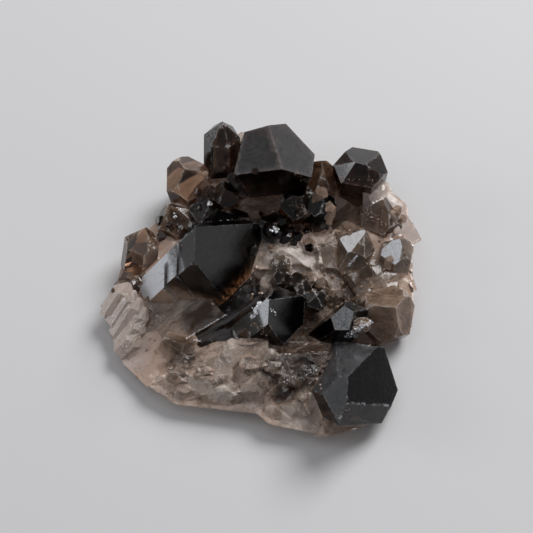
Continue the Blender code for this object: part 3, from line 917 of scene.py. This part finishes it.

# Rows of tiny pale chips on edges and ledges, partly specks of wear and partly painted glints and edge
# highlights: from and to as seen from EYE, how many, half width, how far they stray from the row, kind.
# Each chip has one of these sizes, as a share of its half width
CHIP_SIZES = (.4, .6, .8, 1.2)
CHIP_ROWS = {
    "ridge of the top giant": ((2.9, 35.1), (4, 27.3), 26, .13, .3, "milky"),
    "pit of the top giant": ((6.8, 26.8), (9.1, 24), 18, .14, .35, "milky"),
    "rim of the left giant": ((-7.7, -8), (-.3, 1), 60, .1, .08, "speck_and_glint"),
    "rim of the left root": ((-16.6, -16.8), (-8.1, -11), 280, .09, .07, "speck_and_glint"),
    "top edge of the left giant": ((-15, 12.5), (-.6, 13.8), 50, .08, .12, "speck_and_glint"),
    "bright chip": ((1.9, 10.9), (2.6, 10.9), 16, .3, .25, "speck_and_glint"),
    "bright chip, left": ((-20.3, 14.1), (-19.9, 14.1), 10, .26, .3, "speck_and_glint"),
    "bright facet": ((-12.4, 17.6), (-11.8, 17.6), 8, .3, .3, "speck_and_glint"),
    "left edge": ((-31.5, -17), (-24, -27.5), 90, .14, .4, "milky"),
    "streak of the left giant": ((-25.6, -7.8), (-21.9, -12.2), 40, .14, .3, "speck_and_glint"),
    "ledge of the left giant": ((-19.2, 10.9), (-17.6, 2.3), 40, .12, .25, "milky"),
    "end of the middle": ((-2.4, -11.7), (-.6, -8), 34, .38, .35, "speck_and_glint"),
    "end of the middle, right": ((.6, -8.5), (2.8, -11), 24, .12, .25, "speck_and_glint"),
    "below the middle": ((-2.4, -12.3), (.6, -16), 40, .22, .7, "clear"),
    "front right, top": ((13.5, -17.3), (23.3, -18.5), 30, .12, .2, "milky"),
    "front right, left": ((12.4, -19.5), (12.2, -30.3), 40, .15, .25, "milky"),
    "front right, bottom": ((16.3, -32.4), (21.4, -36.7), 16, .1, .3, "milky"),
    "slab, left": ((-14.4, -20.2), (-2.2, -17.6), 50, .12, .2, "milky"),
    "slab, right": ((-.3, -17.8), (11.9, -20.2), 40, .14, .3, "milky"),
    "slab, glints": ((4, -26.5), (11, -24.5), 80, .12, 1, "speck_and_glint"),
    "slab, glints on the left": ((-9, -22), (-3, -24), 50, .1, .9, "speck_and_glint"),
    "right streak": ((18.7, 1.3), (20.8, 3.9), 90, .13, .12, "speck_and_glint"),
    "right splinter": ((17.8, -16.1), (23.5, -12.7), 130, .17, .25, "speck_and_glint"),
    "top right": ((16.6, 24.3), (27.6, 23.7), 26, .12, .25, "milky"),
    "speckled crystal": ((6.7, 17.7), (9.7, 15.4), 70, .12, 1, "milky"),
    "right back": ((22, 15.7), (27, 13.5), 70, .16, 1.2, "milky"),
    "centre": ((.6, .8), (6.3, 2.3), 24, .12, .6, "speck_and_glint"),
    "middle ridge": ((10.7, -4.3), (12.8, -8.7), 50, .1, .12, "speck_and_glint"),
    "middle ridge, left": ((8.4, -2.5), (9.4, -8.1), 40, .09, .15, "speck_and_glint"),
    "fan": ((-32.6, -14.7), (-27.1, -3.8), 60, .12, .9, "speck_and_glint"),
    "fan, low": ((-30.3, -19), (-24.5, -11.7), 30, .14, .5, "speck_and_glint"),
}


def make_grains(cluster):
    """Scatters small crystals on the stone, and tiny pale chips along the edges, partly wear and partly
    painted glints and edge highlights.
    """
    tree = BVHTree.FromPolygons([vertex.co / MM for vertex in cluster.data.vertices],
                                [polygon.vertices[:] for polygon in cluster.data.polygons])
    numbers = cluster.data.attributes["body_number"].data
    kinds = {name: number_of("grains", name) for name in ("dark", "clear", "milky", "speck_and_glint")}
    grains = Parts()
    rng = Random(GRAINS_SEED)

    def grow(ground, half, way, out, root, kind):
        """Adds one small crystal that stands out this far from the ground."""
        turn = rng.uniform(0, SIDE_STEP)
        tip = ground + axes(way, turn)[2] * out
        if tip.z > LOWEST_TIP:
            add_crystal(grains.mesh, tip, way, turn, (half,) * 6, even_caps(half / 3), out + root)
            grains.mark(kinds[kind])

    for *patch, choice in GRAINS.values():
        for ground, index, half, way in scatter(tree, rng, GRAIN_STRAY, *patch):
            kind = rng.choice(choice)
            if ground is not None and is_stone(BODIES[numbers[index].value]):
                grow(ground, half, way, half * GRAIN_OUT, GRAIN_ROOT, kind)
    eye = Vector(EYE)
    middle = Vector((*CENTRE, 0))
    for start, end, number, half, stray, kind in CHIP_ROWS.values():
        for _ in range(number):
            share = rng.random()
            x, y = ((1 - share) * a + share * b + rng.gauss(0, stray) for a, b in zip(start, end))
            size = half * rng.choice(CHIP_SIZES)
            way = (rng.uniform(0, 360), rng.uniform(20, 90))
            sight = (Vector((x, y, SEEN_LEVEL)) - eye).normalized()
            ground, _, _, _ = tree.ray_cast(eye - middle, sight)
            if ground is not None:
                grow(ground, size, way, size * rng.uniform(.4, 1.4), size, kind)
    bmesh.ops.triangulate(grains.mesh, faces=grains.mesh.faces)
    return grains.make("small_crystals")


class Nodes:
    """Short forms for building a node tree."""

    def __init__(self, tree):
        self.tree = tree

    def add(self, kind, settings=(), **inputs):
        node = self.tree.nodes.new(kind)
        for name, value in settings:
            setattr(node, name, value)
        for name, value in inputs.items():
            self.put(node.inputs[name.replace("_", " ")], value)
        return node

    def put(self, socket, value):
        if isinstance(value, bpy.types.NodeSocket):
            self.tree.links.new(value, socket)
        else:
            socket.default_value = value

    def attribute(self, name):
        return self.add("ShaderNodeAttribute", [("attribute_name", name)]).outputs["Fac"]

    def math(self, operation, values, clamp=False):
        node = self.add("ShaderNodeMath", [("operation", operation), ("use_clamp", clamp)])
        for socket, value in zip(node.inputs, (*values, 0.0, 0.0)):
            self.put(socket, value)
        return node.outputs[0]

    def plus(self, *values, clamp=False):
        return self.math("ADD", values, clamp)

    def minus(self, *values, clamp=False):
        return self.math("SUBTRACT", values, clamp)

    def times(self, *values, clamp=False):
        return self.math("MULTIPLY", values, clamp)

    def times_plus(self, *values):
        return self.math("MULTIPLY_ADD", values)

    def largest(self, *values):
        return self.math("MAXIMUM", values)

    def off_middle(self, value):
        """How far a noise value is from its middle: 0 along thin winding lines."""
        return self.math("ABSOLUTE", (self.minus(value, .5),))

    def ramp(self, value, low, high, to_low=0.0, to_high=1.0):
        node = self.add("ShaderNodeMapRange", [("interpolation_type", "SMOOTHSTEP")], Value=value,
                        From_Min=low, From_Max=high, To_Min=to_low, To_Max=to_high)
        return node.outputs[0]

    def mix(self, factor, first, second):
        node = self.add("ShaderNodeMix", [("data_type", "RGBA")])
        for number, value in ((0, factor), (6, first), (7, second)):
            self.put(node.inputs[number], value)
        return node.outputs[2]

    def noise(self, place, scale, detail=3.0, rough=.55, distortion=0.0):
        return self.add("ShaderNodeTexNoise", Vector=place, Scale=scale, Detail=detail, Roughness=rough,
                        Distortion=distortion).outputs["Fac"]

    def bands(self, distance, scale, detail):
        """Noise that changes in one direction only."""
        return self.add("ShaderNodeTexNoise", [("noise_dimensions", "1D")], W=distance, Scale=scale,
                        Detail=detail, Roughness=.7).outputs["Fac"]

    def vector(self, operation, first, **inputs):
        node = self.add("ShaderNodeVectorMath", [("operation", operation)], **inputs)
        self.put(node.inputs[0], first)
        return node


# Colours of the stone
DARK = (.010, .007, .006, 1)
BROWN = (.16, .075, .035, 1)
MILKY_BROWN = (.20, .125, .085, 1)
CLEAR = (.88, .67, .49, 1)
MILKY = (.50, .345, .28, 1)
PALE = (.60, .52, .47, 1)
GLOW = (.42, .17, .07, 1)
# White of frost and of the painted reflections, a little blue like the sky they stand in for
FROST_AND_SHEEN = (.87, .90, .95, 1)
ABSORBED = (.50, .30, .17, 1)
ABSORPTION = 110.0
QUARTZ_IOR = 1.544


def smoke_and_milk(n, look):
    """Gives the dark and the milky zones wavy borders, streaks, seams and lit edges."""
    place, dark, milk = look["place"], look["dark"], look["milk"]
    wave = n.times_plus(n.minus(look["cloud"], .5), .9, n.times(n.minus(look["fine"], .5), .5))
    dark = n.plus(dark, n.times(wave, n.times(dark, n.minus(1.25, dark))), clamp=True)
    milk = n.plus(milk, n.times(wave, n.times(milk, -1.2)), clamp=True)
    # Streaks along the way the stone grew
    streaks = n.bands(n.times_plus(n.noise(place, .35, 2), 2.5, look["across"]), 2.2, 5.0)
    streak = n.times(n.minus(streaks, .5), n.times(look["streaked"], 1.6))
    milk = n.plus(milk, n.times(streak, n.ramp(milk, 0, .5)), clamp=True)
    dark = n.minus(dark, n.times(streak, n.ramp(milk, 0, .5, 0, .45)), clamp=True)
    # Brown seams and clear windows in the milky stone; pale ridges and dark hollows, a painted light and
    # shade of the relief
    seam = n.ramp(n.noise(place, .3, 5, .62, 2.2), .52, .66)
    window = n.times(n.ramp(n.noise(place, .42, 3, .5, .8), .5, .62), look["rocky"])
    dark = n.plus(dark, n.times(n.times(seam, milk), .2), clamp=True)
    dark = n.minus(dark, n.times(look["high"], .16), clamp=True)
    milk = n.times(milk, n.minus(1, n.times(window, .4)))
    # Thin edges let light through
    thin = n.ramp(n.plus(look["rim"], n.times(wave, 1.6)), -.1, 1.3, 1, 0)
    thin = n.times(look["thin"], thin)
    look["dark"] = n.times(dark, n.minus(1, thin))
    look["milk"] = n.largest(milk, n.times(thin, .8))
    look["streaks"] = streaks


def frost_and_sheen_amount(n, look):
    """How white the stone is: its frost, and the painted reflections and highlights."""
    place, frost_and_sheen = look["place"], look["frost_and_sheen"]
    broken_milk = n.times(look["milk"], look["rocky"])
    # Partly wear, and partly a painted highlight along the crystals' edges
    worn_edge_and_highlight = n.times(n.ramp(look["rim"], .03, .17, .42, 0), n.ramp(look["fine"], .42, .62))
    pale_line = n.times(n.ramp(look["streaks"], .56, .68, 0, .4), n.ramp(look["streaked"], .85, 1))
    crease = n.times(n.ramp(look["crease"], 0, .02, .4, 0), broken_milk)
    veil = n.off_middle(n.noise(place, .26, 5, .6, 1.6))
    veil = n.times(n.ramp(veil, 0, .012, .55, 0), broken_milk)
    dust = n.ramp(n.noise(place, 4.5, 2, .5), .66, .76, 0, .2)
    for white in (worn_edge_and_highlight, pale_line, crease, veil, dust):
        frost_and_sheen = n.largest(frost_and_sheen, white)
    # The frost and painted sheen are uneven, and cracked here and there
    bend = n.add("ShaderNodeTexNoise", Vector=place, Scale=.5, Detail=3.0).outputs["Color"]
    bent = n.vector("ADD", place)
    n.put(bent.inputs[1], bend)
    cracks = n.add("ShaderNodeTexVoronoi", [("feature", "DISTANCE_TO_EDGE")], Vector=bent.outputs[0],
                   Scale=.3).outputs["Distance"]
    cracked = n.ramp(n.plus(cracks, n.ramp(look["cloud"], .42, .5, .1, 0)), .0, .03, .6, 1)
    uneven = n.times_plus(n.minus(n.noise(place, 2.2, 5, .7), .5), 1.5, 1)
    return n.times(frost_and_sheen, n.times(cracked, uneven), clamp=True)


def stone_colour(n, look):
    """From clear or milky, paler on ridges as painted light, over brown to nearly black, then white for
    frost and for painted reflections and highlights, and the painted glow of light through the thin edge.
    """
    dark, milk = look["dark"], look["milk"]
    colour = n.mix(milk, CLEAR, n.mix(n.ramp(look["high"], -.1, .8), MILKY, PALE))
    colour = n.mix(n.ramp(dark, 0, .55), colour, n.mix(milk, BROWN, MILKY_BROWN))
    colour = n.mix(n.ramp(dark, .35, .95), colour, DARK)
    colour = n.mix(look["frost_and_sheen"], colour, FROST_AND_SHEEN)
    return n.mix(look["glow"], colour, GLOW)


def relief(n, look):
    """Fine growth lines across each crystal, and grain, streaks and creases on the broken stone."""
    rocky = look["rocky"]
    lines = n.times(n.bands(look["along"], 2.6, 4.0), n.times_plus(rocky, -.05, .05))
    grain = n.times(n.noise(look["place"], 1.9, 4, .6), n.times_plus(rocky, .2, .012))
    height = n.times_plus(look["streaks"], n.times(look["streaked"], .25), n.plus(lines, grain))
    height = n.times_plus(look["crease"], n.times(rocky, -1.5), height)
    return n.add("ShaderNodeBump", Strength=.6, Distance=.0004, Height=height).outputs[0]


def new_material(name):
    """A material with nodes, and its main shader."""
    material = bpy.data.materials.new(name)
    material.use_nodes = True
    return material, material.node_tree.nodes["Principled BSDF"]


def quartz():
    """The one material of the stone, which follows the looks stored on the face corners."""
    material, shader = new_material("smoky_quartz_looks")
    tree = material.node_tree
    n = Nodes(tree)
    metres = n.add("ShaderNodeTexCoord").outputs["Object"]
    place = n.vector("SCALE", metres, Scale=1000).outputs[0]
    look = {name: n.attribute(name) for name in (*LOOKS, "high")}
    look.update(place=place, cloud=n.noise(place, .16, 5, .6, 1.2), fine=n.noise(place, .9, 4, .65, .6),
                crease=n.off_middle(n.noise(place, .7, 5, .62, 1)))
    smoke_and_milk(n, look)
    look["frost_and_sheen"] = frost_and_sheen_amount(n, look)
    look["glow"] = n.times(look["glow"], n.ramp(n.noise(place, 1.1, 5, .75), .42, .6))
    clear = n.times(n.ramp(look["milk"], 0, .85, 1, .2), n.ramp(look["frost_and_sheen"], 0, .6, 1, .15))
    clear = n.times(clear, n.times_plus(look["glow"], -.65, 1))
    rough = n.plus(n.times_plus(look["rocky"], .09, .05), n.times(look["frost_and_sheen"], .25))
    rough = n.plus(rough, n.times(n.ramp(look["fine"], .5, .75), .14))
    n.put(shader.inputs["Base Color"], stone_colour(n, look))
    n.put(shader.inputs["Transmission Weight"], clear)
    n.put(shader.inputs["Roughness"], rough)
    n.put(shader.inputs["Normal"], relief(n, look))
    shader.inputs["IOR"].default_value = QUARTZ_IOR
    volume = n.add("ShaderNodeVolumeAbsorption", Color=ABSORBED, Density=ABSORPTION)
    tree.links.new(volume.outputs[0], tree.nodes["Material Output"].inputs["Volume"])
    return material


# The pale studio, in metres: size and colour of the floor, and the light from all around
FLOOR_SIZE = 2
FLOOR_COLOUR = (.76, .755, .765, 1)
FLOOR_ROUGHNESS = .8
WORLD_COLOUR = (.85, .85, .87, 1)
WORLD_STRENGTH = .21
# Soft round lights: azimuth, elevation, distance, size, power in watts, colour
LIGHTS = {
    "window": (50, 42, 1, .62, 7.8, (1, 1, 1)),
    "fill": (176, 19, .9, .42, 1.3, (1, 1, 1)),
    "overhead": (150, 70, 1, .8, .9, (.90, .95, 1)),
}
# The camera looks down on the cluster from the front, from EYE
CAMERA_ELEVATION = 60
CAMERA_LENS = 100
CAMERA_SENSOR = 36
NEAREST_SEEN = .01


def make_floor():
    mesh = bmesh.new()
    bmesh.ops.create_grid(mesh, x_segments=1, y_segments=1, size=FLOOR_SIZE)
    item = make_item(mesh, "floor")
    material, shader = new_material("pale_floor")
    shader.inputs["Base Color"].default_value = FLOOR_COLOUR
    shader.inputs["Roughness"].default_value = FLOOR_ROUGHNESS
    item.data.materials.append(material)


def soft_light(name, azimuth, elevation, distance, size, power, colour):
    """A round light that shines on the origin."""
    light = bpy.data.lights.new(name, "AREA")
    light.shape = "DISK"
    light.size = size
    light.energy = power
    light.color = colour
    item = link(bpy.data.objects.new(name, light))
    away = direction(azimuth, elevation)
    item.location = away * distance
    item.rotation_euler = away.to_track_quat("Z", "Y").to_euler()


def make_lights():
    """The studio light: pale from all around, and soft from three sides."""
    world = bpy.data.worlds.new("studio")
    bpy.context.scene.world = world
    world.use_nodes = True
    background = world.node_tree.nodes["Background"]
    background.inputs["Color"].default_value = WORLD_COLOUR
    background.inputs["Strength"].default_value = WORLD_STRENGTH
    bpy.context.scene.view_settings.view_transform = "Standard"
    for name, row in LIGHTS.items():
        soft_light(name, *row)


def make_camera():
    camera = bpy.data.cameras.new("camera")
    camera.lens = CAMERA_LENS
    camera.sensor_width = CAMERA_SENSOR
    camera.clip_start = NEAREST_SEEN
    item = link(bpy.data.objects.new("camera", camera))
    up = radians(CAMERA_ELEVATION)
    back = Vector((0, -cos(up), sin(up)))
    item.location = (Vector(EYE) - Vector((*CENTRE, 0))) * MM
    item.rotation_euler = back.to_track_quat("Z", "Y").to_euler()
    bpy.context.scene.camera = item


def main():
    cluster = build_body()
    refine(cluster)
    paint(cluster)
    bring_down(cluster)
    roughen(cluster)
    grains = make_grains(cluster)
    paint(grains)
    material = quartz()
    for piece in (cluster, grains):
        piece.data.materials.clear()
        piece.data.materials.append(material)
        first_material = np.zeros(len(piece.data.polygons), np.int32)
        piece.data.polygons.foreach_set("material_index", first_material)
        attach(piece, "root")
    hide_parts("quartz_cluster")
    make_floor()
    make_lights()
    make_camera()


main()
import json
